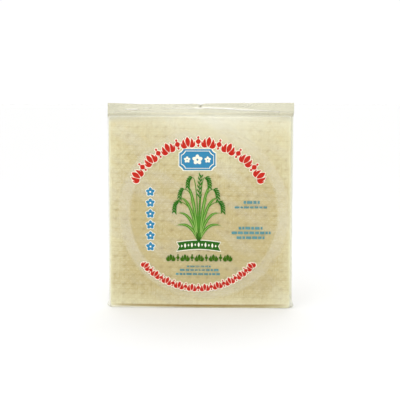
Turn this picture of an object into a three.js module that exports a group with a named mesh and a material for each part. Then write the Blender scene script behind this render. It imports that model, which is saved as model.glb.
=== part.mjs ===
// A square pack of rice paper wrappers, sealed in clear film and standing on its folded foot.
// Millimetres, +Z up, front toward -Y. The origin is on the floor under the middle of the pack.
// The clear bag and the papers that fill it are one closed solid, out to the outside of the film.
import * as THREE from "three";
import { mergeVertices } from "three/addons/utils/BufferGeometryUtils.js";

// The papers: about thirty, standing one behind another.
const paperWidth = 215;
const paperTop = 229;
const stackThickness = 22;
const faceFall = { depth: 0.8, power: 4 }; // the faces fall back toward the sides, most at the corners

// The folded foot, with rounded front and back edges and a small film ear at each end.
const footHeight = 4.5;
const footInset = 2.6;
const footNarrowing = 1.5;
const earHeight = 2.8;
const earReach = 2;
const earFade = 4.2;

// The sides, where the film stands off the papers in one upright crease.
const cornerInset = 1.2;
const creaseReach = 3.3;
const waistInset = 0.4;

// The sealed fin: film without papers, pressed flat, a little wavy along its top.
const sealFoot = 234.5;
const packTop = 245.5;
const sealWidth = 223.4;
const sealThickness = 1.2;
const longWave = { depth: 2.1, length: 148, start: 0.7 };
const shortWave = { depth: 0.9, length: 57, start: 2.1 };
const sag = { depth: 1.3, middle: -30, halfWidth: 52 };
const notch = { depth: 1.4, halfWidth: 3 };

// How finely the bag is divided.
const columns = 36;
const layers = 4;
const footRows = 3;
const wallRows = 12;
const shoulderRows = 3;
const sealRows = 3;
const rows = footRows + wallRows + shoulderRows + sealRows;
const edgeCrowding = 0.55; // 0 spaces the columns evenly, 1 crowds them toward the corners
const wallCrowding = 1.5; // over 1 crowds the wall's rows toward the foot
const tolerance = 1e-5; // points of the undrawn box closer together than this are one

const { lerp, smoothstep } = THREE.MathUtils;

function hump(distance, halfWidth) {
  return Math.exp(-((distance / halfWidth) ** 2));
}

function wave({ depth, length, start }, x) {
  return depth * Math.sin((2 * Math.PI * x) / length + start);
}

// The height of a row: round the foot, up the wall, over the shoulder and up the fin.
function rowHeight(row) {
  if (row <= footRows) {
    const turn = (row / footRows) * (Math.PI / 2);
    return footHeight * (1 - Math.cos(turn));
  }
  const wallRow = row - footRows;
  if (wallRow <= wallRows) {
    return lerp(footHeight, paperTop, (wallRow / wallRows) ** wallCrowding);
  }
  const shoulderRow = wallRow - wallRows;
  if (shoulderRow <= shoulderRows) {
    return lerp(paperTop, sealFoot, shoulderRow / shoulderRows);
  }
  return lerp(sealFoot, packTop, (shoulderRow - shoulderRows) / sealRows);
}

// How much of the foot's rounding is left at a height: 1 on the floor, 0 where the wall begins.
function footShare(z) {
  const down = Math.max(0, 1 - z / footHeight);
  return 1 - Math.sqrt(1 - down * down);
}

// 0 up to the top of the papers, 1 from the foot of the seal upward.
function closedShare(z) {
  return THREE.MathUtils.clamp((z - paperTop) / (sealFoot - paperTop), 0, 1);
}

// Half the pack's thickness at a height, at a share of the way from the middle to a side.
function halfThickness(z, share) {
  const fall = faceFall.depth * share ** faceFall.power;
  const full = stackThickness / 2 - fall - footInset * footShare(z);
  return lerp(full, sealThickness / 2, closedShare(z));
}

// Half the width of the flat face at a height, without the side crease.
function halfFace(z) {
  const papers = paperWidth / 2 - footNarrowing * footShare(z);
  return lerp(papers, sealWidth / 2, closedShare(z));
}

// How far the side crease stands out at a height.
function creaseOut(z) {
  const upTheWall = THREE.MathUtils.clamp(z / paperTop, 0, 1);
  const waist = waistInset * Math.sin(Math.PI * upTheWall);
  const ear = earReach * hump(z - earHeight, earFade);
  return (creaseReach - waist + ear) * (1 - closedShare(z));
}

// The fin's top edge sags left of the middle and is nicked at the middle.
function topDrop(x) {
  const dip = sag.depth * hump(x - sag.middle, sag.halfWidth);
  return dip + notch.depth * hump(x, notch.halfWidth);
}

// A point of the bag. across runs from -1 to 1 side to side, and through from -1 at the front to 1 at
// the back.
function bagPoint(across, through, row) {
  const level = rowHeight(row);
  const share = Math.abs(across);
  const crowded = lerp(across, Math.sin((across * Math.PI) / 2), edgeCrowding);
  const atSide = share > 1 - tolerance;
  const corner = atSide ? cornerInset * (1 - closedShare(level)) : 0;
  const crease = atSide ? creaseOut(level) * (1 - Math.abs(through)) : 0;
  const x = crowded * halfFace(level) + Math.sign(across) * crease;
  const standing = smoothstep(level, paperTop, packTop);
  const bend = (wave(longWave, x) + wave(shortWave, x)) * standing;
  const y = through * (halfThickness(level, share) - corner) + bend;
  const drop = topDrop(x) * smoothstep(level, sealFoot, packTop);
  return new THREE.Vector3(x, y, level - drop);
}

function clearFilmPack() {
  return new THREE.MeshStandardMaterial({ color: 0xe2dab4, roughness: 0.3, metalness: 0 });
}

// A divided box, drawn out into the filled bag.
function sealedBag() {
  const box = new THREE.BoxGeometry(2, 2, rows, columns, layers, rows);
  box.deleteAttribute("normal");
  box.deleteAttribute("uv");
  const geometry = mergeVertices(box, tolerance);
  const points = geometry.getAttribute("position");
  for (let i = 0; i < points.count; i++) {
    const row = Math.round(points.getZ(i) + rows / 2);
    const place = bagPoint(points.getX(i), points.getY(i), row);
    points.setXYZ(i, place.x, place.y, place.z);
  }
  geometry.computeVertexNormals();
  const bag = new THREE.Mesh(geometry, clearFilmPack());
  bag.name = "sealed_bag";
  return bag;
}

const ricePaperPack = new THREE.Group();
ricePaperPack.add(sealedBag());

export default ricePaperPack;
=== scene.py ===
import random
from math import ceil, copysign, cos, exp, floor, hypot, pi, radians, sin, sqrt

import bmesh
import bpy
from mathutils import Euler, Matrix, Vector, noise


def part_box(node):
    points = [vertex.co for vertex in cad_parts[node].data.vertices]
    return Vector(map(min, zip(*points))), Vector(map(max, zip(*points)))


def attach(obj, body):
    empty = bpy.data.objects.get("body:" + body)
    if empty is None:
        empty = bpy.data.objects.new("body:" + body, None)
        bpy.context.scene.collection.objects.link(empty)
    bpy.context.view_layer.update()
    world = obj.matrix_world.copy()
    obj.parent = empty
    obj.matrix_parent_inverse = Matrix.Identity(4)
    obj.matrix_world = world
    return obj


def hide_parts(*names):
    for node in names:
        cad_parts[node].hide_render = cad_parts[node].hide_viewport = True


# A square pack of rice paper wrappers in clear film, standing on its folded foot.
# Metres, +Z up, printed front toward -Y.

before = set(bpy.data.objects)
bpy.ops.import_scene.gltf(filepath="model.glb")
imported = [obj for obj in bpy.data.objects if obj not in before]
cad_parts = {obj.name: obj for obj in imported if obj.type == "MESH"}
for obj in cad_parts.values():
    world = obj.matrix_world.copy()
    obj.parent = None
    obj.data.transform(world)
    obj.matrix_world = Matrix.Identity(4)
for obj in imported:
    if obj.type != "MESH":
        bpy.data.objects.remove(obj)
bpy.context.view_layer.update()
bagLow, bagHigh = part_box("sealed_bag")
mm = 0.001
faceOn = Matrix.Rotation(pi / 2, 4, "X")  # turns a flat shape to face the front

studio = {
    "distance": 1.3,
    "azimuth": 2.0,  # degrees round to the right
    "elevation": 5.5,
    "aim": Vector((-0.24 * mm, 0, 129.2 * mm)),
    "frameWidth": 480 * mm,  # what the frame takes in at that distance
    "sensor": 36,
    "white": 1.02,  # what shows behind the pack
    "roomLight": 0.545,  # what reaches it from all round
    # broad soft lights: strength, spread, and degrees they lean to the right and away behind
    "skies": {"above": (1.65, 75, (-8, -18)), "behind": (1.1, 60, (0, 52))},
    # one long lamp over the front: place, size, watts and what it points at
    "strip": ((-0.1, -1.2, 1.0), (1.3, 0.16), 4.2, (0, 0, 0.12)),
    "floorSize": 60,
    "floorColour": (0.78, 0.78, 0.775, 1),
}


def facing(direction):
    # how a camera or a lamp turns to look along a direction
    return direction.to_track_quat("-Z", "Y").to_euler()


def addObject(name, data):
    made = bpy.data.objects.new(name, data)
    bpy.context.collection.objects.link(made)
    return made


def addCamera():
    around, up = radians(studio["azimuth"]), radians(studio["elevation"])
    away = Vector((0, -1, 0))
    away.rotate(Euler((-up, 0, around)))
    data = bpy.data.cameras.new("camera")
    data.sensor_width = studio["sensor"]
    data.lens = studio["sensor"] * studio["distance"] / studio["frameWidth"]
    data.clip_end = 200
    camera = addObject("camera", data)
    camera.location = studio["aim"] + away * studio["distance"]
    camera.rotation_euler = facing(-away)
    bpy.context.scene.camera = camera


def addLamp(name, kind, strength, turn):
    data = bpy.data.lights.new(name, kind)
    data.energy = strength
    lamp = addObject(name, data)
    lamp.rotation_euler = turn
    return lamp


def addSky(name):
    strength, spread, lean = studio["skies"][name]
    side, back = (radians(turn) for turn in lean)
    lamp = addLamp(name, "SUN", strength, (-back, side, 0))
    lamp.data.angle = radians(spread)


def addStrip():
    place, size, watts, target = studio["strip"]
    lamp = addLamp("strip", "AREA", watts, facing(Vector(target) - Vector(place)))
    lamp.location = place
    lamp.data.shape = "RECTANGLE"
    lamp.data.size, lamp.data.size_y = size


def addWorld():
    # plain white behind, and softer light from all round
    world = bpy.data.worlds.new("studio")
    bpy.context.scene.world = world
    world.use_nodes = True
    nodes, links = world.node_tree.nodes, world.node_tree.links
    background = nodes["Background"]
    background.inputs["Color"].default_value = (1, 1, 1, 1)
    rays = nodes.new("ShaderNodeLightPath")
    strength = nodes.new("ShaderNodeMapRange")
    strength.inputs["To Min"].default_value = studio["roomLight"]
    strength.inputs["To Max"].default_value = studio["white"]
    links.new(rays.outputs["Is Camera Ray"], strength.inputs["Value"])
    links.new(strength.outputs["Result"], background.inputs["Strength"])


def srgb(*levels):
    # a colour as a screen shows it, 0 to 255, made linear
    shares = [level / 255 for level in levels]
    return (*(s / 12.92 if s <= 0.04045 else ((s + 0.055) / 1.055) ** 2.4 for s in shares), 1)


def wired(operation, backward=False):
    # how a wire adds one Math node, for an operator such as a sum
    def method(wire, other=0.0):
        first, second = (other, wire) if backward else (wire, other)
        return wire.finish.node("Math", {"operation": operation}, {0: first, 1: second})

    return method


class Wire:
    # a socket in a finish, and sums and products on it add Math nodes

    def __init__(self, finish, socket):
        self.finish = finish
        self.socket = socket

    __add__ = __radd__ = wired("ADD")
    __sub__, __rsub__ = wired("SUBTRACT"), wired("SUBTRACT", True)
    __mul__ = __rmul__ = wired("MULTIPLY")
    __truediv__, __rtruediv__ = wired("DIVIDE"), wired("DIVIDE", True)
    __pow__ = wired("POWER")
    __abs__ = wired("ABSOLUTE")

    def held(self):
        return self.finish.node("Clamp", {}, {0: self})


class Finish:
    # a material, and the ways to add nodes to it

    def __init__(self, name):
        self.material = bpy.data.materials.new(name)
        self.material.use_nodes = True
        self.tree = self.material.node_tree
        self.tree.nodes.clear()
        self.output = self.tree.nodes.new("ShaderNodeOutputMaterial")

    def node(self, kind, settings=None, inputs=None, out=0):
        made = self.tree.nodes.new("ShaderNode" + kind)
        for name, value in (settings or {}).items():
            setattr(made, name, value)
        for name, value in (inputs or {}).items():
            if isinstance(value, Wire):
                self.tree.links.new(value.socket, made.inputs[name])
            else:
                made.inputs[name].default_value = value
        return Wire(self, made.outputs[out])

    def place(self):
        # the object's own coordinates, and x, y and z of them
        point = self.node("TexCoord", out=3)
        return point, [self.node("SeparateXYZ", {}, {0: point}, out=i) for i in range(3)]

    def cloud(self, point, size, detail=2.0, stretch=(1, 1, 1)):
        # soft noise about 0.5, with lumps of the given size in metres
        scale = [part / size for part in stretch]
        spread = self.node("Mapping", {}, {"Vector": point, "Scale": scale})
        return self.node("TexNoise", {}, {"Vector": spread, "Scale": 1.0, "Detail": detail})

    def attribute(self, name):
        return self.node("Attribute", {"attribute_name": name}, out=2)

    def blend(self, share, first, second, way="MIX"):
        settings = {"data_type": "RGBA", "blend_type": way}
        return self.node("Mix", settings, {0: share, 6: first, 7: second}, out=2)

    def mix(self, share, first, second):
        return self.node("MixShader", {}, {0: share.held(), 1: first, 2: second})

    def clear(self, colour):
        return self.node("BsdfTransparent", {}, {"Color": colour})

    def bump(self, height, depth, strength):
        return self.node("Bump", {}, {"Height": height, "Distance": depth, "Strength": strength})

    def surface(self, shader):
        self.tree.links.new(shader.socket, self.output.inputs["Surface"])
        return self.material


def near(distance, reach, power=1):
    # 1 where there is no distance, fading to 0 at the reach
    share = (1 - distance / reach).held()
    return share if power == 1 else share**power


def grows(pair, share):
    # the first of the pair, and a share of the second on top
    return pair[0] + pair[1] * share


paper = {
    "deep": srgb(207, 192, 142),  # the middle of the sheet, over the thick stack
    "pale": srgb(243, 240, 210),  # painted light where light gets in, along the top and the sides
    "glow": srgb(247, 247, 241),  # painted glow close to the top edge, where light comes straight through
    "cut": srgb(252, 245, 224),  # the cut edges on top, pale, and painted lighter as they face the light
    "edge": srgb(255, 248, 222),  # and those at the sides, painted lighter against the shade between the sheets
    # the dimples where slivers cross: darker for their thicker paper, and as painted shade in the
    # recess
    "pit": srgb(158, 132, 78),
    "straw": srgb(226, 207, 148),
    "shoulder": srgb(204, 202, 188),  # painted shade where the gathered film shades the corners on top
    "valley": (0.84, 0.78, 0.62, 1),  # painted shade: what the hollows between slivers keep of the light
    "footShade": srgb(150, 117, 18),  # painted shade of the rounded underside along the foot, brown
    "footGlow": srgb(250, 247, 232),  # painted pale light below that band, toward the left
    # painted light: how far light gets in from each edge, and the power with which it falls off
    "topReach": (140 * mm, 1.6),
    "sideReach": (30 * mm, 1.4),
    "footReach": (34 * mm, 1.4),
    "glowReach": (30 * mm, 1.3),
    "rimReach": 2.5 * mm,  # along the cut edges
    # how much of it shows: everywhere, and what the brightest place adds or the shade takes
    "topLight": (0.35, 0.46),
    "glowLight": (0.12, 0.52),
    "sideLight": (0.5, -0.35),
    "footLight": 0.7,
    "rimLight": 0.8,
    "brightest": (30 * mm, 55 * mm),  # how far right of the middle, and where half is left
    "shade": (165 * mm, 60 * mm, 160 * mm),  # in the upper left: its foot, its rise and its width
    # soft marks in the light, as size, detail, stretch and share
    "marks": [
        (30 * mm, 2.0, (1, 1, 1), 0.42),
        (10 * mm, 1.0, (1, 1, 1), 0.3),
        (2.6 * mm, 3.0, (0.12, 1, 1), 0.28),
        (2.2 * mm, 2.0, (1, 1, 0.3), 0.34),
    ],
    "weave": {"sliver": 0.3, "hollow": 0.4, "pit": 0.3, "straw": 0.4},  # how strongly each shows
    "calm": (0.8, 0.7, 0.4),  # how much fainter in the light, in the glow and high up
    "calmReach": 60 * mm,  # how far down it is fainter, and straw-coloured patches show
    "shoulderReach": 7 * mm,
    "shoulderShade": (0.6, 0.35),  # at both ends, and what the left adds
    # of the painted shade along the foot: height, half thickness, and how much higher it is 100 mm
    # out
    "footShadeLine": (2.7 * mm, 1.8 * mm, 0.75 * mm),
    "shadeEnd": 107 * mm,
    "footShadeFade": 270 * mm,  # how slowly it fades toward both sides
    "fibreSize": 1.8 * mm,
    "roughness": (0.5, 0.16),  # between the fibres, and what they add
    "gloss": 0.3,
}


def paperLight(f, point, x, z, central, rim):
    # painted light: how much light shows through a sheet, 0 in the thick of the stack, 1 along its
    # edges
    top = near(bag["paperTop"] - z, *paper["topReach"]) * grows(paper["topLight"], central)
    low, rise, width = paper["shade"]
    shaded = ((z - low) / rise).held() * (0.5 - x / width).held()
    fromSide = bag["paperHalf"] - abs(x)
    side = near(fromSide, *paper["sideReach"]) * grows(paper["sideLight"], shaded)
    foot = near(z, *paper["footReach"]) * paper["footLight"]
    light = 1 - (1 - top) * (1 - side) * (1 - foot) * (1 - rim * paper["rimLight"])
    for size, detail, stretch, share in paper["marks"]:
        light = light + (f.cloud(point, size, detail, stretch) - 0.5) * share
    return light


def weaveColour(f, colour, point, below, central, calmer):
    # the painted glow along the top, then painted shade in the hollows and dimples, and
    # straw-coloured patches over it
    shown = paper["weave"]
    _, inGlow, highUp = paper["calm"]
    glow = near(below, *paper["glowReach"]) * grows(paper["glowLight"], central)
    colour = f.blend(glow, colour, paper["glow"])
    high = near(below, paper["calmReach"])
    calmer = calmer * (1 - glow * inGlow) * (1 - highUp * high)
    hollow = (1 - f.attribute("strand")).held() ** 1.3 * calmer * shown["hollow"]
    colour = f.blend(hollow.held(), colour, paper["valley"], "MULTIPLY")
    pit = f.attribute("weave") * calmer * shown["pit"]
    colour = f.blend(pit.held(), colour, paper["pit"])
    straw = ((f.cloud(point, 6 * mm, 3.0, (0.6, 1, 1)) - 0.5) * 4).held() * high
    straw = straw * (1 - 2 * glow).held() * shown["straw"]
    return f.blend(straw, colour, paper["straw"])


def shoulderColour(f, colour, x, below):
    # painted shade, darker where the gathered film shades the corners
    both, left = paper["shoulderShade"]
    atEnds = both * (abs(x) / paper["shadeEnd"]) ** 4 + left * (x / (-80 * mm)).held()
    shoulder = near(below, paper["shoulderReach"]) * atEnds
    return f.blend(shoulder.held(), colour, paper["shoulder"])


def footShadeColour(f, colour, x, z):
    # painted shade along the foot, brown, where the rounded underside turns from the light,
    # tapered at its ends; painted light below it toward the left
    height, half, rise = paper["footShadeLine"]
    footShade = (z - height - (x / (100 * mm)) ** 2 * rise) / half
    under = (-1.2 * footShade - 0.3).held() * (x / (-60 * mm)).held()
    colour = f.blend(under, colour, paper["footGlow"])
    ends = (1 - (abs(x) / paper["shadeEnd"]) ** 10).held()
    footShade = (1.3 - 1.3 * footShade * footShade).held() * (1 - abs(x) / paper["footShadeFade"]) * ends
    return f.blend(footShade * 0.95, colour, paper["footShade"])


def ricePaperFinish(name, pitted):
    f = Finish(name)
    point, (x, _, z) = f.place()
    below = bag["paperTop"] - z
    brightest, halfAway = paper["brightest"]
    aside = (x - brightest) / halfAway
    central = 1 / (1 + aside * aside)
    rim = near(bag["paperHalf"] - abs(x), paper["rimReach"])
    light = paperLight(f, point, x, z, central, rim)
    if pitted:
        # slivers painted lighter where they stand high and darker where they dip, as shade on the
        # weave's relief, each with a tone of its own
        calmer = (1 - light * paper["calm"][0]).held() * (1 - rim)
        light = light + (f.attribute("strand") - 0.5) * paper["weave"]["sliver"] * calmer
    colour = f.blend(light.held(), paper["deep"], paper["pale"])
    if pitted:
        colour = weaveColour(f, colour, point, below, central, calmer)
    else:
        colour = f.blend(rim, colour, paper["edge"])
        colour = f.blend(near(below, paper["rimReach"]), colour, paper["cut"])
    colour = shoulderColour(f, colour, x, below)
    fibres = f.cloud(point, paper["fibreSize"], 4.0)
    inputs = {
        "Base Color": footShadeColour(f, colour, x, z),
        "Roughness": grows(paper["roughness"], fibres),
        "Specular IOR Level": paper["gloss"],
        "Normal": f.bump(fibres * 0.12, 0.12 * mm, 0.5),
    }
    return f.surface(f.node("BsdfPrincipled", {}, inputs))


clearFilm = {
    "clear": (0.985, 0.985, 0.97, 1),  # let through by one side of one ply
    "seal": (0.945, 0.938, 0.877, 1),  # the same where two plies are pressed together
    "folded": (0.72, 0.71, 0.66, 1),  # and where it is bunched up
    # white of the film where it goes cloudy, also used as painted highlight on creases
    "hazeAndHighlight": (0.96, 0.955, 0.925, 1),
    "halfWidth": 110 * mm,
    "sealStart": (0.4, 1.4),  # mm under the papers' top in front, and how much lower behind
    "sealSoft": 1.2 * mm,
    "sealTint": (0.8, 0.3),  # in the middle, and what the ends add
    "sideTint": (107.2 * mm, 12 * mm),  # how far out and how far up the side creases' tint begins
    "sideStrength": (0.55, 3.3),  # in the middle, and what a metre to the right adds
    "lowLine": (231.1 * mm, 5.2 * mm),  # a darker band low in the fin: height and half thickness
    "bunched": (0.02, 0.05),  # in the fin, and what the ends add
    "lowDarkening": (0.07, 0.24),
    "turnLine": (229.6 * mm, 3 * mm),  # where the film turns in over the papers
    "swathes": (34 * mm, (0.4, 1, 1.3), -32),  # size, stretch, and degrees they lean
    "slackHaze": 0.2,  # how white the film is where it hangs off the papers
    "creaseHighlight": 0.9,  # painted highlight: how white a sharp crease goes
    "crinkle": (7 * mm, 0.25 * mm),  # size and depth
    "roughness": (0.12, 0.06),  # between the crinkles, and what they add
    "headOn": 0.02,  # share mirrored head on, and what is added edge-on
    "edgeOn": 0.42,
    "sealGloss": 0.02,
}


def clearFilmFinish(name, sealed):
    # sealed is 1 for the bag, whose two plies meet in the fin, and 0 for a single strip
    f = Finish(name)
    point, (x, y, z) = f.place()
    out = abs(x) / clearFilm["halfWidth"]
    start = grows(clearFilm["sealStart"], (y / (8 * mm)).held()) * mm
    inFin = ((z - bag["paperTop"] + start) / clearFilm["sealSoft"]).held() * sealed
    height, half = clearFilm["lowLine"]
    low = inFin * near(abs(z - height), half)
    farOut, up = clearFilm["sideTint"]
    aside = ((abs(x) - farOut) / (1 * mm)).held() * (z / up).held()
    tint = inFin * grows(clearFilm["sealTint"], out**2)
    tint = tint + aside * grows(clearFilm["sideStrength"], x)
    through = f.mix(tint, f.clear(clearFilm["clear"]), f.clear(clearFilm["seal"]))
    bunched = f.attribute("bunch") + inFin * grows(clearFilm["bunched"], out)
    bunched = bunched + low * grows(clearFilm["lowDarkening"], out)
    through = f.mix(bunched, through, f.clear(clearFilm["folded"]))
    # hazy in swathes where it hangs slack, and not at the foot, where it lies tight
    size, stretch, lean = clearFilm["swathes"]
    turned = f.node("Mapping", {}, {"Vector": point, "Rotation": (0, radians(lean), 0)})
    slack = ((f.cloud(turned, size, 2.0, stretch) - 0.52) * 5).held() * clearFilm["slackHaze"]
    loose = 0.05 + 0.95 * ((z - 2.5 * mm) / (5 * mm)).held()
    # sharp creases get a painted highlight, drawn in the same white
    whiter = slack * (1 - inFin) * loose * 0.5 + f.attribute("crease") * clearFilm["creaseHighlight"]
    through = f.mix(whiter, through, f.node("BsdfDiffuse", {}, {"Color": clearFilm["hazeAndHighlight"]}))
    # glossy, least where it turns in
    size, depth = clearFilm["crinkle"]
    crinkle = f.cloud(point, size, 3.0, (1, 1, 0.35))
    inputs = {
        "Color": (1, 1, 1, 1),
        "Roughness": grows(clearFilm["roughness"], crinkle),
        "Normal": f.bump(crinkle, depth, 0.3),
    }
    gloss = f.node("BsdfAnisotropic", {}, inputs)
    edge = f.node("LayerWeight", {}, {"Blend": 0.5}, out=1)
    height, half = clearFilm["turnLine"]
    turnIn = near(abs(z - height), half) * (0.2 - x / (70 * mm)).held()
    glancing = clearFilm["edgeOn"] * edge**3 * loose * (1 - low * 0.8) * (1 - turnIn)
    share = clearFilm["headOn"] + glancing + clearFilm["sealGloss"] * inFin
    return f.surface(f.mix(share, through, gloss))


def inkFinish(name, colour, faded, coverage, softness):
    # flat ink on film: a little uneven, with specks where it printed thin
    f = Finish(name)
    point, (x, _, z) = f.place()
    blots = f.cloud(point, 9 * mm, 3.0)
    specks = f.cloud(point, 0.9 * mm)
    inputs = {
        "Base Color": f.blend((blots * 0.7 + specks * 0.3).held() * 0.35, colour, faded),
        "Roughness": 0.34 + 0.12 * blots,
        "Specular IOR Level": 0.12,
        "Normal": f.bump(specks, 0.04 * mm, 0.4),
    }
    shader = f.node("BsdfPrincipled", {}, inputs)
    if coverage >= 1:
        return f.surface(shader)
    streaks = f.cloud(point, 38 * mm) - 0.5
    share = coverage * (1 + 2.2 * streaks)
    if softness:
        share = share * softness(x, z)
    return f.surface(f.mix(share, f.clear((1, 1, 1, 1)), shader))


def floorFinish():
    f = Finish("studioFloor")
    inputs = {"Base Color": studio["floorColour"], "Roughness": 0.9}
    return f.surface(f.node("BsdfPrincipled", {}, inputs))


def makeFloor():
    bpy.ops.mesh.primitive_plane_add(size=studio["floorSize"])
    plane = bpy.context.object
    plane.name = "studioFloor"
    plane.data.materials.append(floorFinish())


bag = {
    "paperHalf": 215 * mm / 2,
    "paperTop": 229 * mm,
    "slack": 1.1 * mm,  # how much wider the film's faces are than the papers, on each side
    "halfThickness": (bagHigh.y - bagLow.y) / 2,
    "faceFall": 0.8 * mm,
    "footHeight": 2.4 * mm,
    "footInset": 0.8 * mm,
    "footNarrowing": 1.5 * mm,
    "earHeight": 2.2 * mm,
    "earReach": 2 * mm,
    "earFade": 2.8 * mm,
    "earHaze": 0.1,  # how cloudy the film is there
    "cornerRadius": 1.3 * mm,
    "creaseReach": 2.2 * mm,
    "waistInset": 0.4 * mm,
    "sealFoot": 234.5 * mm,
    "top": bagHigh.z,
    "sealWidth": 222.2 * mm,
    "sealShift": 0.4 * mm,  # how far right of the middle the fin sits
    "flapRoom": 0.13 * mm,  # how far the underside stands off the floor, for the folded flap
    "plyGap": 0.25 * mm,  # half the space between the two plies of the fin
    "wall": 0.09 * mm,
}


def hump(distance, halfWidth):
    return exp(-((distance / halfWidth) ** 2))


def held(value, low=0.0, high=1.0):
    return max(low, min(high, value))


def smooth(value, low, high):
    share = held((value - low) / (high - low))
    return share * share * (3 - 2 * share)


def mixed(first, second, share):
    return first + (second - first) * share


def crowded(share, amount):
    # moves even steps from -1 to 1 closer together toward the ends
    return mixed(share, sin(share * pi / 2), amount)


def evenly(low, high, count):
    return [mixed(low, high, i / (count - 1)) for i in range(count)]


def roundIn(share):
    # how far a quarter round comes in, as a share of its radius
    return 1 - sqrt(1 - share * share)


def footShare(z):
    return roundIn(held(1 - z / bag["footHeight"]))


def closedShare(z):
    # 0 up to the papers' top edge, 1 from the foot of the seal upward
    return smooth(z, bag["paperTop"], bag["sealFoot"])


def openDepth(x, z):
    # half the thickness of the filled part
    share = held(abs(x) / bag["paperHalf"])
    return bag["halfThickness"] - bag["faceFall"] * share**4 - bag["footInset"] * footShare(z)


def halfPaper(z):
    return bag["paperHalf"] - bag["footNarrowing"] * footShare(z)


def halfFace(z):
    return mixed(halfPaper(z) + bag["slack"], bag["sealWidth"] / 2, closedShare(z))


def creaseOut(z):
    upTheWall = held(z / bag["paperTop"])
    waist = bag["waistInset"] * sin(pi * upTheWall)
    ear = bag["earReach"] * hump(z - bag["earHeight"], bag["earFade"])
    return (bag["creaseReach"] - waist + ear) * (1 - closedShare(z))


fin = {
    "longWave": (2.1 * mm, 148 * mm, 0.7),
    "shortWave": (0.9 * mm, 57 * mm, 2.1),
    "sags": [(1.3 * mm, -30 * mm, 52 * mm), (0.8 * mm, -72 * mm, 24 * mm)],
    "notch": (1.4 * mm, 3 * mm),
    # creases: x and z of the left end and of the right end (mm), and how sharp they are
    "creases": [
        (-41, 239.4, -5, 239.2, 0.6), (-5, 239.2, 1, 239.8, 1.0),
        (1, 239.9, 18, 239.1, 1.2), (18, 239.1, 38, 238.1, 1.1),
        (36, 237.6, 62, 236.4, 0.8), (62, 236.4, 80, 235.9, 0.75),
        (80, 235.9, 92, 234.6, 0.6), (-87, 237.8, -77, 237.8, 0.9),
        (-66, 239.9, -62, 239.9, 0.5), (-100, 235.4, -62, 236.6, 0.2),
        (52, 241.4, 56, 244.4, 0.3), (57, 240.6, 61, 243.8, 0.25),
        (-30, 242.0, -12, 241.0, 0.25),
    ],
    "creaseWidth": 0.75 * mm,
    "creaseEnd": 3 * mm,  # how softly each runs out
    "creaseDepth": 0.8 * mm,
    "pinch": (0.4 * mm, 243.0 * mm, 1.5 * mm),  # a bunched spot, its film darker for the plies and as painted shade of the crumple: x, z and half its size
    "pinchDepth": 0.6 * mm,
    "waver": (0.3 * mm, 16 * mm),  # of the fin between the creases: depth and size
    "pleats": (0.35 * mm, 5 * mm, 30 * mm),  # depth, width and height
}


def wave(form, x):
    depth, length, start = form
    return depth * sin(2 * pi * x / length + start)


def creaseAt(x, z):
    # how sharply the fin is creased at a point, 0 where it is flat
    most = 0
    for left, leftZ, right, rightZ, sharp in fin["creases"]:
        place = (x / mm - left) / (right - left)
        line = mixed(leftZ, rightZ, held(place)) * mm
        past = (held(place) - place) * (right - left) * mm
        most = max(most, sharp * hump(z - line, fin["creaseWidth"]) * hump(past, fin["creaseEnd"]))
    return most


def earHaze(x, z):
    # the film goes cloudy in the empty ears of the foot
    return bag["earHaze"] * smooth(abs(x), 103 * mm, 109 * mm) * (1 - smooth(z, 1.5 * mm, 5 * mm))


def bunchAt(x, z):
    middle, height, size = fin["pinch"]
    return hump(hypot(x - middle, z - height), size)


def topDrop(x):
    notchDepth, notchWidth = fin["notch"]
    dips = sum(depth * hump(x - middle, halfWidth) for depth, middle, halfWidth in fin["sags"])
    return dips + notchDepth * hump(x, notchWidth)


def noiseAt(x, z, sizeX, sizeZ, layer):
    # noise about 0, unlike that of any other layer
    return noise.noise(Vector((x / sizeX, z / sizeZ, layer * 7.3)))


def finBend(x, z):
    standing = smooth(z, bag["paperTop"], bag["top"])
    bend = (wave(fin["longWave"], x) + wave(fin["shortWave"], x)) * standing
    inFin = smooth(z, bag["sealFoot"] - 2 * mm, bag["sealFoot"] + 2 * mm)
    bend -= fin["creaseDepth"] * creaseAt(x, z) * inFin
    bend += fin["pinchDepth"] * bunchAt(x, z)
    depth, size = fin["waver"]
    return bend + depth * noiseAt(x, z, size, size, 1) * inFin


def pleats(x, z, layer):
    # small upright gathers where the film closes over the papers
    depth, *size = fin["pleats"]
    strength = hump(z - bag["paperTop"] - 2 * mm, 9 * mm)
    return depth * strength * abs(noiseAt(x, z, *size, layer))


film = {
    "faceColumns": 150,
    "sideColumns": 8,
    "rows": (5, 64, 7, 22),  # round the foot, up the wall, over the shoulder and up the fin
    "crowding": 0.55,  # 0 spaces the columns evenly, 1 crowds them toward the corners
    "slack": (0.1 * mm, 26 * mm, 40 * mm),  # over the papers: depth, width and height of its lumps
    "ridges": (0.1 * mm, 30 * mm, 90 * mm),  # the same for the fine ridges in it
    "sideWaver": (0.5 * mm, 22 * mm),  # how far each side's crease wanders, over what height
}


def crinkles(x, z, layer):
    # shallow slack in the film over the papers, always outward
    slack, *slackSize = film["slack"]
    ridge, *ridgeSize = film["ridges"]
    lumps = 0.5 + 0.5 * noiseAt(x, z, *slackSize, layer)
    lines = 1 - abs(noiseAt(x + 0.4 * z, z, *ridgeSize, layer + 3))
    return slack * lumps + ridge * lines**6


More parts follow.
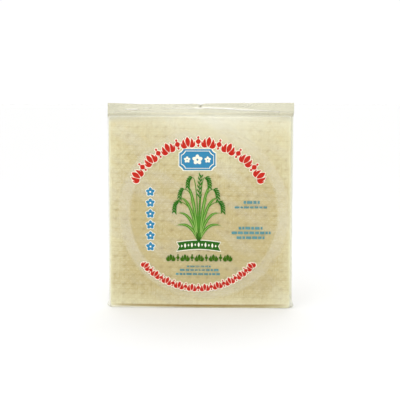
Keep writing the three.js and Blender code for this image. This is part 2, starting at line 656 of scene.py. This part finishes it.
def filmPoint(across, through, z, shut):
    # across runs -1 to 1 over a face, and through from -1 in front to 1 behind;
    # shut is 1 where the two walls meet
    closed = closedShare(z)
    x = across * halfFace(z)
    fromCorner = halfFace(z) - abs(x)
    radius = bag["cornerRadius"] * (1 - closed)
    inCorner = held(1 - fromCorner / max(radius, 1e-6)) if radius > 0 else 0
    depth = mixed(openDepth(x, z), bag["plyGap"], closed)
    depth -= radius * roundIn(inCorner)
    if abs(through) > 0.999:
        layer = 2 if through < 0 else 5
        loose = held(fromCorner / (4 * mm)) * smooth(z, 1 * mm, 12 * mm)
        depth += (crinkles(x, z, layer) * (1 - closed) + pleats(x, z, layer)) * loose
    else:
        waver, size = film["sideWaver"]
        reach = creaseOut(z) + waver * noiseAt(through, z, 1, size, 8 + across) * (1 - closed)
        x += across * reach * (1 - abs(through) ** 1.4)
    y = through * depth * (1 - shut) + finBend(x, z)
    drop = topDrop(x) * smooth(z, bag["sealFoot"], bag["top"])
    return Vector((x + bag["sealShift"] * closed, y, z - drop))


def filmFront(x, z):
    # where the outside of the front film is, for what lies on it
    half = halfFace(z)
    return filmPoint(held(x / half, -1, 1), -1, z, 0).y


def finishPiece(bm, name, material, thickness=0, smoothShade=True, replaces=False):
    if thickness:
        bmesh.ops.solidify(bm, geom=bm.faces[:], thickness=thickness)
    for face in bm.faces:
        face.smooth = smoothShade
    data = bpy.data.meshes.new(name)
    bm.to_mesh(data)
    bm.free()
    data.materials.append(material)
    piece = addObject(name, data)
    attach(piece, "root")
    if replaces:
        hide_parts("sealed_bag")


def addGrid(bm, across, up, size, **placed):
    made = bmesh.ops.create_grid(bm, x_segments=across, y_segments=up, size=size, **placed)
    return made["verts"]


def grid(across, up, size):
    bm = bmesh.new()
    addGrid(bm, across, up, size)
    return bm


def steps(low, high, count):
    # even steps, without the last
    return evenly(low, high, count + 1)[:-1]


def filmRows():
    # (height, how far shut) from the middle of the underside up to the top edge
    atFoot, *upward = film["rows"]
    rows = [(bag["flapRoom"], 1), (bag["flapRoom"], 0.5)]
    for turn in steps(0, pi / 2, atFoot):
        rows.append((mixed(bag["footHeight"], bag["flapRoom"], cos(turn)), 0))
    levels = [bag[part] for part in ("footHeight", "paperTop", "sealFoot", "top")]
    for low, high, count in zip(levels, levels[1:], upward):
        rows += [(z, 0) for z in steps(low, high, count)]
    return rows + [(bag["top"], 1)]


def filmColumns():
    # (across, through) round the bag: front, right side, back, left side and the first again
    columns = []
    for way in (1, -1):
        face = steps(-way, way, film["faceColumns"])
        columns += [(crowded(share, film["crowding"]), -way) for share in face]
        columns += [(way, share) for share in steps(-way, way, film["sideColumns"])]
    return columns + columns[:1]


def finishFilm(bm, name, material, sealed=0, replaces=False):
    bmesh.ops.recalc_face_normals(bm, faces=bm.faces)
    finish = clearFilmFinish(material, sealed)
    finishPiece(bm, name, finish, bag["wall"], replaces=replaces)


def makeFilm():
    rows, columns = filmRows(), filmColumns()
    across, up = len(columns) - 1, len(rows) - 1
    bm = grid(across, up, 1)
    crease = bm.verts.layers.float.new("crease")
    bunch = bm.verts.layers.float.new("bunch")
    for vertex in bm.verts:
        number = round((vertex.co.x + 1) / 2 * across)
        z, shut = rows[round((vertex.co.y + 1) / 2 * up)]
        vertex.co = filmPoint(*columns[number], z, shut)
        # the crease layer carries the creases' painted highlight and how cloudy the ears go
        vertex[crease] = max(creaseAt(vertex.co.x, z), earHaze(vertex.co.x, z))
        vertex[bunch] = bunchAt(vertex.co.x, z)
    bmesh.ops.remove_doubles(bm, verts=bm.verts, dist=0.002 * mm)
    finishFilm(bm, "clearFilm", "clearFilm", 1, True)


seams = {
    "lap": (4 * mm, 12 * mm, 5 * mm, 241 * mm),  # up the back: x, width, foot and top
    "lapLoose": (0.45 * mm, 18 * mm),  # how far its free edge lifts, and the height of one lift
    "flap": (206 * mm, 11 * mm, 1.5 * mm),  # under the foot: length, width, how far back
    "flapWaver": (0.6 * mm, 25 * mm),
}


def makeBackLap():
    # where the film was joined up the back
    x, width, low, high = seams["lap"]
    lift, size = seams["lapLoose"]
    bm = grid(8, 110, 0.5)
    for vertex in bm.verts:
        along = x + vertex.co.x * width
        z = mixed(low, high, vertex.co.y + 0.5)
        y = filmPoint(along / halfFace(z), 1, z, 0).y
        loose = smooth(vertex.co.x, 0.1, 0.5) * (0.5 + noiseAt(0, z, 1, size, 31))
        vertex.co = (along, y + 0.05 * mm + bag["wall"] + lift * loose, z)
    finishFilm(bm, "backLap", "lapFilm")


def makeFootFlap():
    # the film folded over under the foot
    length, width, back = seams["flap"]
    waver, size = seams["flapWaver"]
    bm = grid(60, 6, 0.5)
    for vertex in bm.verts:
        along = vertex.co.x * length
        across = vertex.co.y * width + waver * noiseAt(along, 0, size, 1, 40)
        vertex.co = (along, back + across, bag["wall"] + 0.02 * mm)
    finishFilm(bm, "footFlap", "flapFilm")


stack = {
    "count": 30,
    "thickness": 0.54 * mm,
    "skin": 0.32 * mm,  # the outermost sheets keep this far inside the film
    "foot": 0.26 * mm,
    "top": 228.6 * mm,
    "cornerRadius": 2 * mm,
    "stagger": 0.55 * mm,
    "lean": 0.0016,
    "reliefRoom": 1.5 * mm,  # what the outermost sheets take up, with their relief
    "ripple": (0.1 * mm, 12 * mm),  # depth and size, in each of the inner sheets
    "bow": (0.3 * mm, 45 * mm),  # the same, for all of them together
    "seed": 7,
}

# the weave of the drying mat, pressed into every sheet
mat = {
    "cell": 11.1 * mm,
    "turn": 2,  # degrees clockwise seen from the front
    "samples": (8, 12),  # grid steps to one cell, across and up
    "slivers": (2, 4),  # broad and narrow bamboo slivers to one cell
    "pitWidth": 0.22,  # half the size of the dimple where slivers cross, in cells
    "pitHeight": 0.17,
    "seamHeight": 0.12,  # the same for the dark line along each row of dimples
    "seamShare": 0.3,
    "pitDepth": 0.32 * mm,
    "sliverRise": 0.2 * mm,
    "slack": 0.10,  # how far the mat's lines wander, in cells
}


def cellDraw(i, j, seed):
    return random.Random(i * 7919 + j * 104729 + seed * 31).random()


def sliverHeight(u, v, count, seed):
    # rows of slivers that pass over and under, each a little unlike the next
    number = floor(v * count)
    rounded = max(0, sin(pi * (v * count - number))) ** 0.7
    start = 0.5 * (number % 2) + 0.2 * cellDraw(number, 5, seed + 2)
    along = u * count / 2 + start
    over = 0.5 + 0.5 * cos(2 * pi * along)
    strength = 0.6 + 0.7 * cellDraw(number, round(along * 2), seed + 1)
    return rounded * (0.15 + 0.85 * over) * strength


def matMarks(u, v, seed):
    # u and v count cells of the mat: how deep in a dimple a point is, and how high on a sliver
    i, j = round(u), round(v)
    strength = 0.3 + 1.4 * cellDraw(i, j, seed)
    pit = hump(u - i, mat["pitWidth"]) * hump(v - j, mat["pitHeight"]) * strength
    seamDepth = held(0.5 + 0.9 * noiseAt(u, j, 1.1, 1, seed + 6))
    pit = max(pit, mat["seamShare"] * seamDepth * hump(v - j, mat["seamHeight"]))
    if noiseAt(u, v, 1.3, 1.3, seed + 4) > 0.2:
        u, v = v, u  # here and there the weave turns
    broad, narrow = mat["slivers"]
    sliver = 0.45 * sliverHeight(u, v, broad, seed) + 0.55 * sliverHeight(u, v, narrow, seed + 9)
    return pit, sliver


def sheetPoint(x, z, depth, shift):
    # a point of a sheet that stands at a depth behind the middle
    inset = stack["cornerRadius"]
    fromEnd = min(z - stack["foot"], stack["top"] - z)
    x *= 1 - inset * roundIn(held(1 - fromEnd / inset)) / bag["paperHalf"]
    x *= halfPaper(min(z, bag["paperTop"])) / bag["paperHalf"]
    return Vector((x + shift[0], depth, z + shift[1] * z / stack["top"]))


def faceToward(bm, way):
    # turns a sheet's faces to the front (-1) or the back (1)
    bmesh.ops.recalc_face_normals(bm, faces=bm.faces)
    bm.faces.ensure_lookup_table()
    if bm.faces[0].normal.y * way < 0:
        bmesh.ops.reverse_faces(bm, faces=bm.faces)


def pressedMat(seed):
    # an upright grid with the mat's weave marked on it, cut to the size of a sheet
    low, high = stack["foot"], stack["top"]
    cells = ceil((high - low) / mat["cell"] / 2) + 1
    across, up = (2 * cells * samples for samples in mat["samples"])
    turn = radians(mat["turn"])
    bm = grid(across, up, cells)
    weave = bm.verts.layers.float.new("weave")
    strand = bm.verts.layers.float.new("strand")
    for vertex in bm.verts:
        u, v = vertex.co.x, vertex.co.y
        vertex[weave], vertex[strand] = matMarks(u, v, seed)
        u += mat["slack"] * noiseAt(u, v, 6, 1.5, seed)
        v += mat["slack"] * noiseAt(u, v, 1.5, 6, seed + 1)
        x = (u * cos(turn) + v * sin(turn)) * mat["cell"]
        z = (v * cos(turn) - u * sin(turn)) * mat["cell"] + (low + high) / 2
        vertex.co = Vector((x, 0, z))
    half = bag["paperHalf"]
    for edge, x, z in ((half, 1, 0), (half, -1, 0), (high, 0, 1), (-low, 0, -1)):
        way = Vector((x, 0, z))
        everything = bm.verts[:] + bm.edges[:] + bm.faces[:]
        bmesh.ops.bisect_plane(
            bm, geom=everything, dist=1e-7, plane_co=way * edge, plane_no=way, clear_outer=True
        )
    return bm, weave, strand


def embossedSheet(name, outward, seed):
    # the first sheet (-1) or the last (1), with the mat's weave standing out of it
    bm, weave, strand = pressedMat(seed)
    for vertex in bm.verts:
        x, z = vertex.co.x, vertex.co.z
        point = sheetPoint(x, z, outward * (openDepth(x, z) - stack["skin"]), (0, 0))
        marks = mat["sliverRise"] * (vertex[strand] - 1) - mat["pitDepth"] * vertex[weave]
        point.y += outward * marks * smooth(z, 2 * mm, 8 * mm)
        vertex.co = point
    faceToward(bm, outward)
    finish = ricePaperFinish(name, True)
    finishPiece(bm, name, finish, stack["thickness"], replaces=True)


def plainSheet(place, number, shift, lean):
    # one inner sheet; place runs from -1 for the first to 1 for the last
    ripple, rippleSize = stack["ripple"]
    bow, bowSize = stack["bow"]
    sheet = grid(38, 40, 1)
    for vertex in sheet.verts:
        across, up = (crowded(share, 0.35) for share in vertex.co.xy)
        x = across * bag["paperHalf"]
        z = mixed(stack["foot"], stack["top"], (up + 1) / 2)
        depth = place * (openDepth(x, z) - stack["skin"] - stack["reliefRoom"])
        depth += ripple * noiseAt(x, z, rippleSize, rippleSize, number)
        depth += bow * noiseAt(x, z, bowSize, bowSize, 3) * (1 - place * place)
        vertex.co = sheetPoint(x, z, depth - stack["thickness"] / 2, shift)
        vertex.co.x += lean * z
    faceToward(sheet, -1)
    bmesh.ops.solidify(sheet, geom=sheet.faces[:], thickness=stack["thickness"])
    return sheet


def innerSheets():
    # every sheet between the outer two, each cut and stacked a little off its neighbours
    draw = random.Random(stack["seed"])
    bm = bmesh.new()
    stagger, lean = stack["stagger"], stack["lean"]
    for number, place in enumerate(evenly(-1, 1, stack["count"] - 2)):
        shift = (draw.uniform(-stagger, stagger), draw.uniform(-1.4 * stagger, 0))
        sheet = plainSheet(place, number, shift, draw.uniform(-lean, lean))
        data = bpy.data.meshes.new("sheet")
        sheet.to_mesh(data)
        sheet.free()
        bm.from_mesh(data)
        bpy.data.meshes.remove(data)
    finish = ricePaperFinish("innerPaper", False)
    finishPiece(bm, "innerSheets", finish, replaces=True)


label = {
    "centre": (-1.9 * mm, 112.3 * mm),
    "arcRadius": 87.5 * mm,
    "outline": 1.0 * mm,
    "inkDepth": 0.05 * mm,
}

# how far each layer of ink stands off the film
lifts = [lift * mm for lift in (0.07, 0.13, 0.19, 0.25, 0.31, 0.37)]

# each colour, and what it fades to where it printed thin
inks = {
    "red": ((192, 22, 12), (216, 84, 62)),
    "white": ((250, 247, 228), (244, 236, 208)),
    "blue": ((40, 128, 172), (98, 164, 194)),
    "steel": ((92, 158, 168), (146, 184, 176)),
    "leaf": ((72, 134, 36), (110, 158, 62)),
    "lightLeaf": ((146, 186, 92), (174, 198, 118)),
    "ear": ((44, 114, 28), (84, 142, 46)),
    "darkGreen": ((34, 96, 18), (66, 120, 42)),
    "olive": ((54, 98, 8), (92, 130, 34)),
    "pale": ((252, 247, 224), (246, 240, 214)),
}


def at(x, z, width, height):
    # places a flat unit shape on the front
    return Matrix.Translation((x, 0, z)) @ faceOn @ Matrix.Diagonal((width, height, 1, 1))


def bar(bm, x, z, width, height):
    addGrid(bm, 1, 1, 0.5, matrix=at(x, z, width, height))


def disc(bm, x, z, size, sides):
    matrix = at(x, z, size, size)
    bmesh.ops.create_circle(bm, cap_ends=True, segments=sides, radius=0.5, matrix=matrix)


def spot(x, z):
    # a rule that puts flat points round (x, z)
    return lambda across, up: Vector((x + across, 0, z + up))


def arcSpot(angle, upright):
    # the same on the label's circle, for marks that stand outward or inward
    middleX, middleZ = label["centre"]
    radius = label["arcRadius"]
    way = 1 if upright else -1

    def place(across, up):
        turn = angle + way * across / radius
        reach = radius + way * up
        return Vector((middleX + reach * sin(turn), 0, middleZ + reach * cos(turn)))

    return place


def bezier(start, middle, end):
    a, b, c = (Vector(point) for point in (start, middle, end))
    return lambda t: a * (1 - t) ** 2 + b * 2 * t * (1 - t) + c * t * t


def ribbon(bm, path, width, count=8):
    # a strip along path(share), as wide as width(share)
    for vertex in addGrid(bm, 1, count, 1):
        share = (vertex.co.y + 1) / 2
        here, ahead = path(share), path(share + 0.01)
        side = Vector((ahead.z - here.z, 0, here.x - ahead.x)).normalized()
        vertex.co = here + side * vertex.co.x * width(share) / 2


def petal(bm, place, points, width, grow, fullness=0.75):
    # a leaf along a bend of three flat points, pointed at both ends
    flat = bezier(*points)
    low, middle, high = (Vector(point) for point in points)
    over = grow / ((middle - low).length + (high - middle).length)

    def path(share):
        return place(*flat(mixed(-over, 1 + over, share)))

    full = width + 2 * grow
    ribbon(bm, path, lambda share: full * max(sin(pi * held(share)), 0.03) ** fullness)


def lotus(bm, place, height, grow):
    # a bud between two pairs of curved petals
    def part(width, *points):
        sized = [(x * height, z * height) for x, z in points]
        petal(bm, place, sized, width * height, grow)

    part(0.46, (0, -0.46), (0, 0.1), (0, 0.52))
    for side in (-1, 1):
        part(0.31, (side * 0.12, -0.46), (side * 0.55, -0.24), (side * 0.36, 0.36))
        part(0.24, (side * 0.16, -0.48), (side * 0.66, -0.54), (side * 0.66, 0.06))


def diamond(bm, place, middle, half, width, grow):
    petal(bm, place, ((0, middle - half), (0, middle), (0, middle + half)), width, grow, 0.9)


def beads(bm, place, height, grow):
    # a diamond between two small ones
    for level, size in ((0.40, 0.26), (0, 0.56), (-0.40, 0.26)):
        size *= height
        diamond(bm, place, level * height, size / 2, size * 0.9, grow)


def markRow(bm, places, height, grow):
    # buds and beads by turns
    for number, place in enumerate(places):
        mark = beads if number % 2 else lotus
        mark(bm, place, height, grow)


def blossom(bm, place, size, grow):
    # five round petals
    for number in range(5):
        turn = 2 * pi * number / 5
        out = Vector((sin(turn), cos(turn))) * size
        petal(bm, place, (out * 0.06, out * 0.28, out * 0.52), 0.38 * size, grow, 0.55)


def printPiece(bm, name, ink, lift, coverage=1, softness=None):
    # ink that stands a little off the film; softness(x, z) thins see-through ink
    bmesh.ops.remove_doubles(bm, verts=bm.verts, dist=0.001 * mm)
    for vertex in bm.verts:
        vertex.co.y = filmFront(vertex.co.x, vertex.co.z) - lift
    bmesh.ops.recalc_face_normals(bm, faces=bm.faces)
    flipped = [face for face in bm.faces if face.normal.y > 0]
    bmesh.ops.reverse_faces(bm, faces=flipped)
    colour, faded = (srgb(*shade) for shade in inks[ink])
    finish = inkFinish(name, colour, faded, coverage, softness)
    finishPiece(bm, name, finish, label["inkDepth"], smoothShade=False)


def printMarks(name, ink, lift, draw, grow):
    bm = bmesh.new()
    draw(bm, grow)
    printPiece(bm, name, ink, lift)


def printOutlined(name, ink, draw):
    # draw(bm, grow) makes the marks, once grown in white and once in ink over that
    printMarks(name + "Edge", "white", lifts[0], draw, label["outline"])
    printMarks(name, ink, lifts[1], draw, 0)


arcs = {
    "topArc": {"count": 15, "span": 57.5, "height": 12.4 * mm, "upright": True},
    "footArc": {"count": 19, "span": 45.5, "height": 8.6 * mm, "upright": False},
}


def makeArc(name):
    arc = arcs[name]
    start = 0 if arc["upright"] else pi
    angles = [radians(angle) for angle in evenly(-arc["span"], arc["span"], arc["count"])]
    places = [arcSpot(angle + start, arc["upright"]) for angle in angles]
    printOutlined(name, "red", lambda bm, grow: markRow(bm, places, arc["height"], grow))


plaque = {
    "middle": (-2.9 * mm, 178.3 * mm),
    "size": (43 * mm, 25 * mm),
    "corner": 5 * mm,
    "frame": (1.9 * mm, 2.6 * mm),  # how far in the white line inside the edge begins and ends
    "flowers": (7.5 * mm, 12 * mm, 7.5 * mm),
    "apart": 12.2 * mm,  # from one flower to the next
}


def plaqueShape(bm, grow):
    x, z = plaque["middle"]
    width, height = plaque["size"]
    bar(bm, x, z, width + 2 * grow, height + 2 * grow)
    cut = {"offset": plaque["corner"], "offset_type": "OFFSET", "segments": 6, "profile": 0.15}
    bmesh.ops.bevel(bm, geom=bm.verts[:], affect="VERTICES", material=-1, **cut)


def makePlaque():
    x, z = plaque["middle"]
    begins, ends = plaque["frame"]
    printOutlined("plaque", "blue", plaqueShape)
    printMarks("plaqueLine", "white", lifts[2], plaqueShape, -begins)
    printMarks("plaqueField", "blue", lifts[3], plaqueShape, -ends)
    flowers, hearts = bmesh.new(), bmesh.new()
    for side, size in zip((-1, 0, 1), plaque["flowers"]):
        middle = x + side * plaque["apart"]
        blossom(flowers, spot(middle, z), size, 0)
        disc(hearts, middle, z, 0.2 * size, 14)
    printPiece(flowers, "plaqueFlowers", "white", lifts[4])
    printPiece(hearts, "plaqueHearts", "blue", lifts[5])


plant = {
    "foot": (-1.4 * mm, 81.5 * mm),
    "tall": 77 * mm,
    # how far out each leaf reaches (mm), how high it ends and bends (shares of the height)
    "leaves": (
        (27, 0.42, 0.50), (25, 0.66, 0.72), (17, 0.86, 0.90),
        (29, 0.22, 0.34), (11, 0.66, 0.62),
    ),
    # how far out each stem reaches (mm), how high it bends, and how low its ear hangs
    "ears": ((7, 0.98, 0.82), (17, 0.80, 0.60), (23, 0.60, 0.44)),
    "leafWidth": 3.5 * mm,
    "ribWidth": (0.9, 0.35),  # at the foot and at the tip (mm)
    "stemWidth": (1.6, 0.8),
    "grains": 6,  # along each side of an ear
}


def plantPoint(out, up):
    footX, footZ = plant["foot"]
    return Vector((footX + out * mm, 0, footZ + up * plant["tall"]))


def leafWidth(share):
    return plant["leafWidth"] * sin(pi * min(share + 0.08, 1)) ** 0.7


def tapered(foot, tip):
    return lambda share: mixed(foot, tip, share) * mm


def hangingEar(bm, start, bow, end):
    # pointed grains in two rows along a stem that hangs over
    ear = bezier(start, bow, end)
    ribbon(bm, ear, tapered(0.7, 0.7))
    count = plant["grains"]
    for number in range(count):
        for way, offset in ((-1, 0.25), (1, 0.6)):
            here = ear((number + offset) / count)
            along = (ear((number + 1.2) / count) - ear(number / count)).normalized()
            aside = Vector((-along.z, 0, along.x)) * way
            middle = here + aside * 1.5 * mm + along * 1.2 * mm
            tip = here + aside * 2.5 * mm + along * 4.6 * mm
            petal(bm, spot(0, 0), (here.xz, middle.xz, tip.xz), 1.7 * mm, 0)


def makePlant():
    # a tuft of rice: leaves that arch out and ears of grain that hang over
    leaves, ribs, ears = bmesh.new(), bmesh.new(), bmesh.new()
    for side in (-1, 1):
        for reach, rise, bend in plant["leaves"]:
            start, tip = plantPoint(side * 1.2, 0), plantPoint(side * reach, rise)
            path = bezier(start, plantPoint(side * reach * 0.35, bend), tip)
            ribbon(leaves, path, leafWidth, 12)
            ribbon(ribs, lambda share: path(0.1 + 0.8 * share), tapered(*plant["ribWidth"]), 12)
        for reach, rise, hang in plant["ears"]:
            bow = plantPoint(side * reach, rise)
            path = bezier(plantPoint(side * 0.4, 0), plantPoint(side * reach * 0.25, rise), bow)
            ribbon(leaves, path, tapered(*plant["stemWidth"]), 12)
            far = side * (reach + 6)
            hangingEar(ears, bow, plantPoint(far, rise), plantPoint(far, hang))
    top = plantPoint(1, 0.64)
    middle = bezier(plantPoint(0, 0), plantPoint(0, 0.4), top)
    ribbon(leaves, middle, tapered(1.8, 1.0))
    hangingEar(ears, top, plantPoint(0, 0.85), plantPoint(2.5, 1.02))
    printPiece(leaves, "plantLeaves", "leaf", 0.1 * mm)
    printPiece(ribs, "plantRibs", "lightLeaf", 0.17 * mm)
    printPiece(ears, "plantEars", "ear", 0.23 * mm)


band = {
    "middle": (-1.4 * mm, 75.4 * mm),
    "length": 52 * mm,
    "height": 10.2 * mm,
    "rise": 2.4 * mm,
    "cut": 3 * mm,  # the notch in each end
    "marks": ((1.5 * mm, 1.8 * mm), (2.8 * mm, 2.4 * mm)),  # half height and width, by turns
}


def bandHeight(out):
    # the band bows up in the middle
    return band["rise"] * (cos(pi * out / band["length"]) - 0.5)


def makeBand():
    x, z = band["middle"]

    def draw(bm, grow):
        for vertex in addGrid(bm, 26, 2, 1):
            out = vertex.co.x * (band["length"] / 2 + grow)
            notch = band["cut"] * (1 - abs(vertex.co.y)) * smooth(abs(vertex.co.x), 0.85, 1)
            out -= copysign(notch, out)
            up = vertex.co.y * (band["height"] / 2 + grow)
            vertex.co = spot(x, z)(out, up + bandHeight(out))

    printOutlined("greenBand", "darkGreen", draw)
    bm = bmesh.new()
    for number, share in enumerate(evenly(-0.39, 0.39, 11)):
        out = share * band["length"]
        half, width = band["marks"][number % 2]
        diamond(bm, spot(x + out, z + bandHeight(out)), 0, half, width, 0)
    printPiece(bm, "bandMarks", "white", lifts[2])


greenRow = {"middle": (-0.8 * mm, 60.9 * mm), "length": 68 * mm, "height": 7.8 * mm, "count": 9}


def makeGreenRow():
    x, z = greenRow["middle"]
    shares = evenly(-0.5, 0.5, greenRow["count"])
    bm = bmesh.new()
    places = [spot(x + share * greenRow["length"], z) for share in shares]
    markRow(bm, places, greenRow["height"], 0.12 * mm)
    printPiece(bm, "greenRow", "olive", 0.12 * mm)


column = {"x": -59.1 * mm, "high": 139.8 * mm, "low": 74.1 * mm, "count": 6, "size": 10.4 * mm}


def makeColumn():
    heights = evenly(column["high"], column["low"], column["count"])

    def draw(bm, grow):
        for z in heights:
            blossom(bm, spot(column["x"], z), column["size"], grow * 0.8)

    printOutlined("column", "blue", draw)
    bm = bmesh.new()
    for z in heights:
        disc(bm, column["x"], z, 2.2 * mm, 10)
    printPiece(bm, "columnHearts", "white", lifts[2])


smallPrint = {
    # rows of dashes as (left, right, height, thickness), in millimetres
    "middle": [(-15.7, 12.9, 50.4, 2.0), (-24, 22.4, 46.1, 2.4), (-28.8, 26.5, 41.2, 2.4)],
    "side": [
        (52.1, 71.2, 127.6, 3.4), (41.4, 80.7, 121.6, 2.4), (46.2, 74.7, 96.7, 3.2),
        (37.8, 84.3, 91.1, 3.2), (43.8, 77.1, 85.3, 3.2),
    ],
    "dash": (2.4, 6.5),  # shortest and longest (mm)
    "gap": 1.1,
    "seed": 21,
    "coverage": 0.68,
}


def makeSmallPrint():
    # rows of short dashes where a pack has its small print
    draw = random.Random(smallPrint["seed"])
    for group in ("middle", "side"):
        bm = bmesh.new()
        for left, right, z, height in smallPrint[group]:
            while left < right - 1.5:
                length = min(draw.uniform(*smallPrint["dash"]), right - left)
                bar(bm, (left + length / 2) * mm, z * mm, length * mm, height * mm)
                left += length + smallPrint["gap"]
        printPiece(bm, group + "SmallPrint", "steel", 0.12 * mm, smallPrint["coverage"])


ring = {
    "centre": (4.6 * mm, 113.5 * mm),
    "radii": (86.6 * mm, 103.6 * mm),
    "coverage": 0.2,
    "fade": 4 * mm,  # how wide its soft edges are
}


def ringShare(x, z):
    # 1 along the middle of the ring, less in its soft edges
    aside, up = x - ring["centre"][0], z - ring["centre"][1]
    inner, outer = ring["radii"]
    fromMiddle = abs((aside**2 + up**2) ** 0.5 - (inner + outer) / 2)
    return (((outer - inner) / 2 - fromMiddle) / ring["fade"]).held()


def makeRing():
    x, z = ring["centre"]
    inner, outer = ring["radii"]
    bm = bmesh.new()
    edge = [bm.verts.new((x, 0, z + reach)) for reach in evenly(inner, outer, 5)]
    for first, second in zip(edge, edge[1:]):
        bm.edges.new((first, second))
    turn = {"cent": (x, 0, z), "axis": (0, 1, 0), "angle": 2 * pi, "steps": 96}
    bmesh.ops.spin(bm, geom=bm.verts[:] + bm.edges[:], use_merge=True, **turn)
    printPiece(bm, "paleRing", "pale", 0.03 * mm, ring["coverage"], ringShare)


print("studio")
addCamera()
addWorld()
for sky in studio["skies"]:
    addSky(sky)
addStrip()
makeFloor()
print("papers")
embossedSheet("frontSheet", -1, 3)
embossedSheet("backSheet", 1, 11)
innerSheets()
print("film")
makeFilm()
makeBackLap()
makeFootFlap()
print("print")
makeRing()
for arcName in arcs:
    makeArc(arcName)
makePlaque()
makePlant()
makeBand()
makeGreenRow()
makeColumn()
makeSmallPrint()

scene = bpy.context.scene
scene.view_settings.view_transform = "Standard"
scene.cycles.transparent_max_bounces = 32
